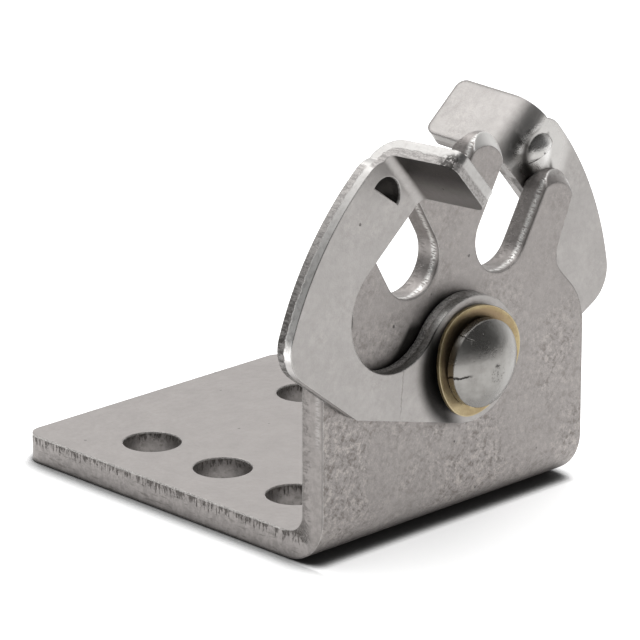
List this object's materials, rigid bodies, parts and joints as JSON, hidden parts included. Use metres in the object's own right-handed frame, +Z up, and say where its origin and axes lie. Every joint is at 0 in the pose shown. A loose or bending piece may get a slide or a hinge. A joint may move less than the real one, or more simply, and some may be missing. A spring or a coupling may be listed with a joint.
{
  "type": "cable clip",
  "caption": "Folded steel bracket that holds cables in slots at the top of its upright, each slot closed by a pivoting latch with a thumb tab.",
  "frame": {"origin": "centre of the screw pattern, on the underside of the base", "axes": "+X along the fold, +Y from the upright back over the base, +Z up from the mounting surface"},
  "size_m": [0.052, 0.0569, 0.0446],
  "materials": {
    "bracket": "tumbled, satin",
    "front_latch": "tumbled, satin",
    "rear_latch": "tumbled, satin",
    "pivot_rivet": "cold formed, smooth",
    "front_spring_washer": "tarnished, satin",
    "rear_spring_washer": "tarnished, satin"
  },
  "bodies": {
    "base": {"bracket": "bracket", "pivot_rivet": "pivot_rivet", "front_spring_washer": "front_spring_washer", "rear_spring_washer": "rear_spring_washer"},
    "front_latch": {"front_latch": "front_latch"},
    "rear_latch": {"rear_latch": "rear_latch"}
  },
  "joints": [
    {"name": "front_latch_pivot", "type": "hinge", "parent": "base", "child": "front_latch", "pos_m": [0, -0.0242, 0.01865], "axis": [0, -1, 0], "range_deg": [-4, 40]},
    {"name": "rear_latch_pivot", "type": "hinge", "parent": "base", "child": "rear_latch", "pos_m": [0, -0.01895, 0.01865], "axis": [0, 1, 0], "range_deg": [-13.5, 30]}
  ]
}
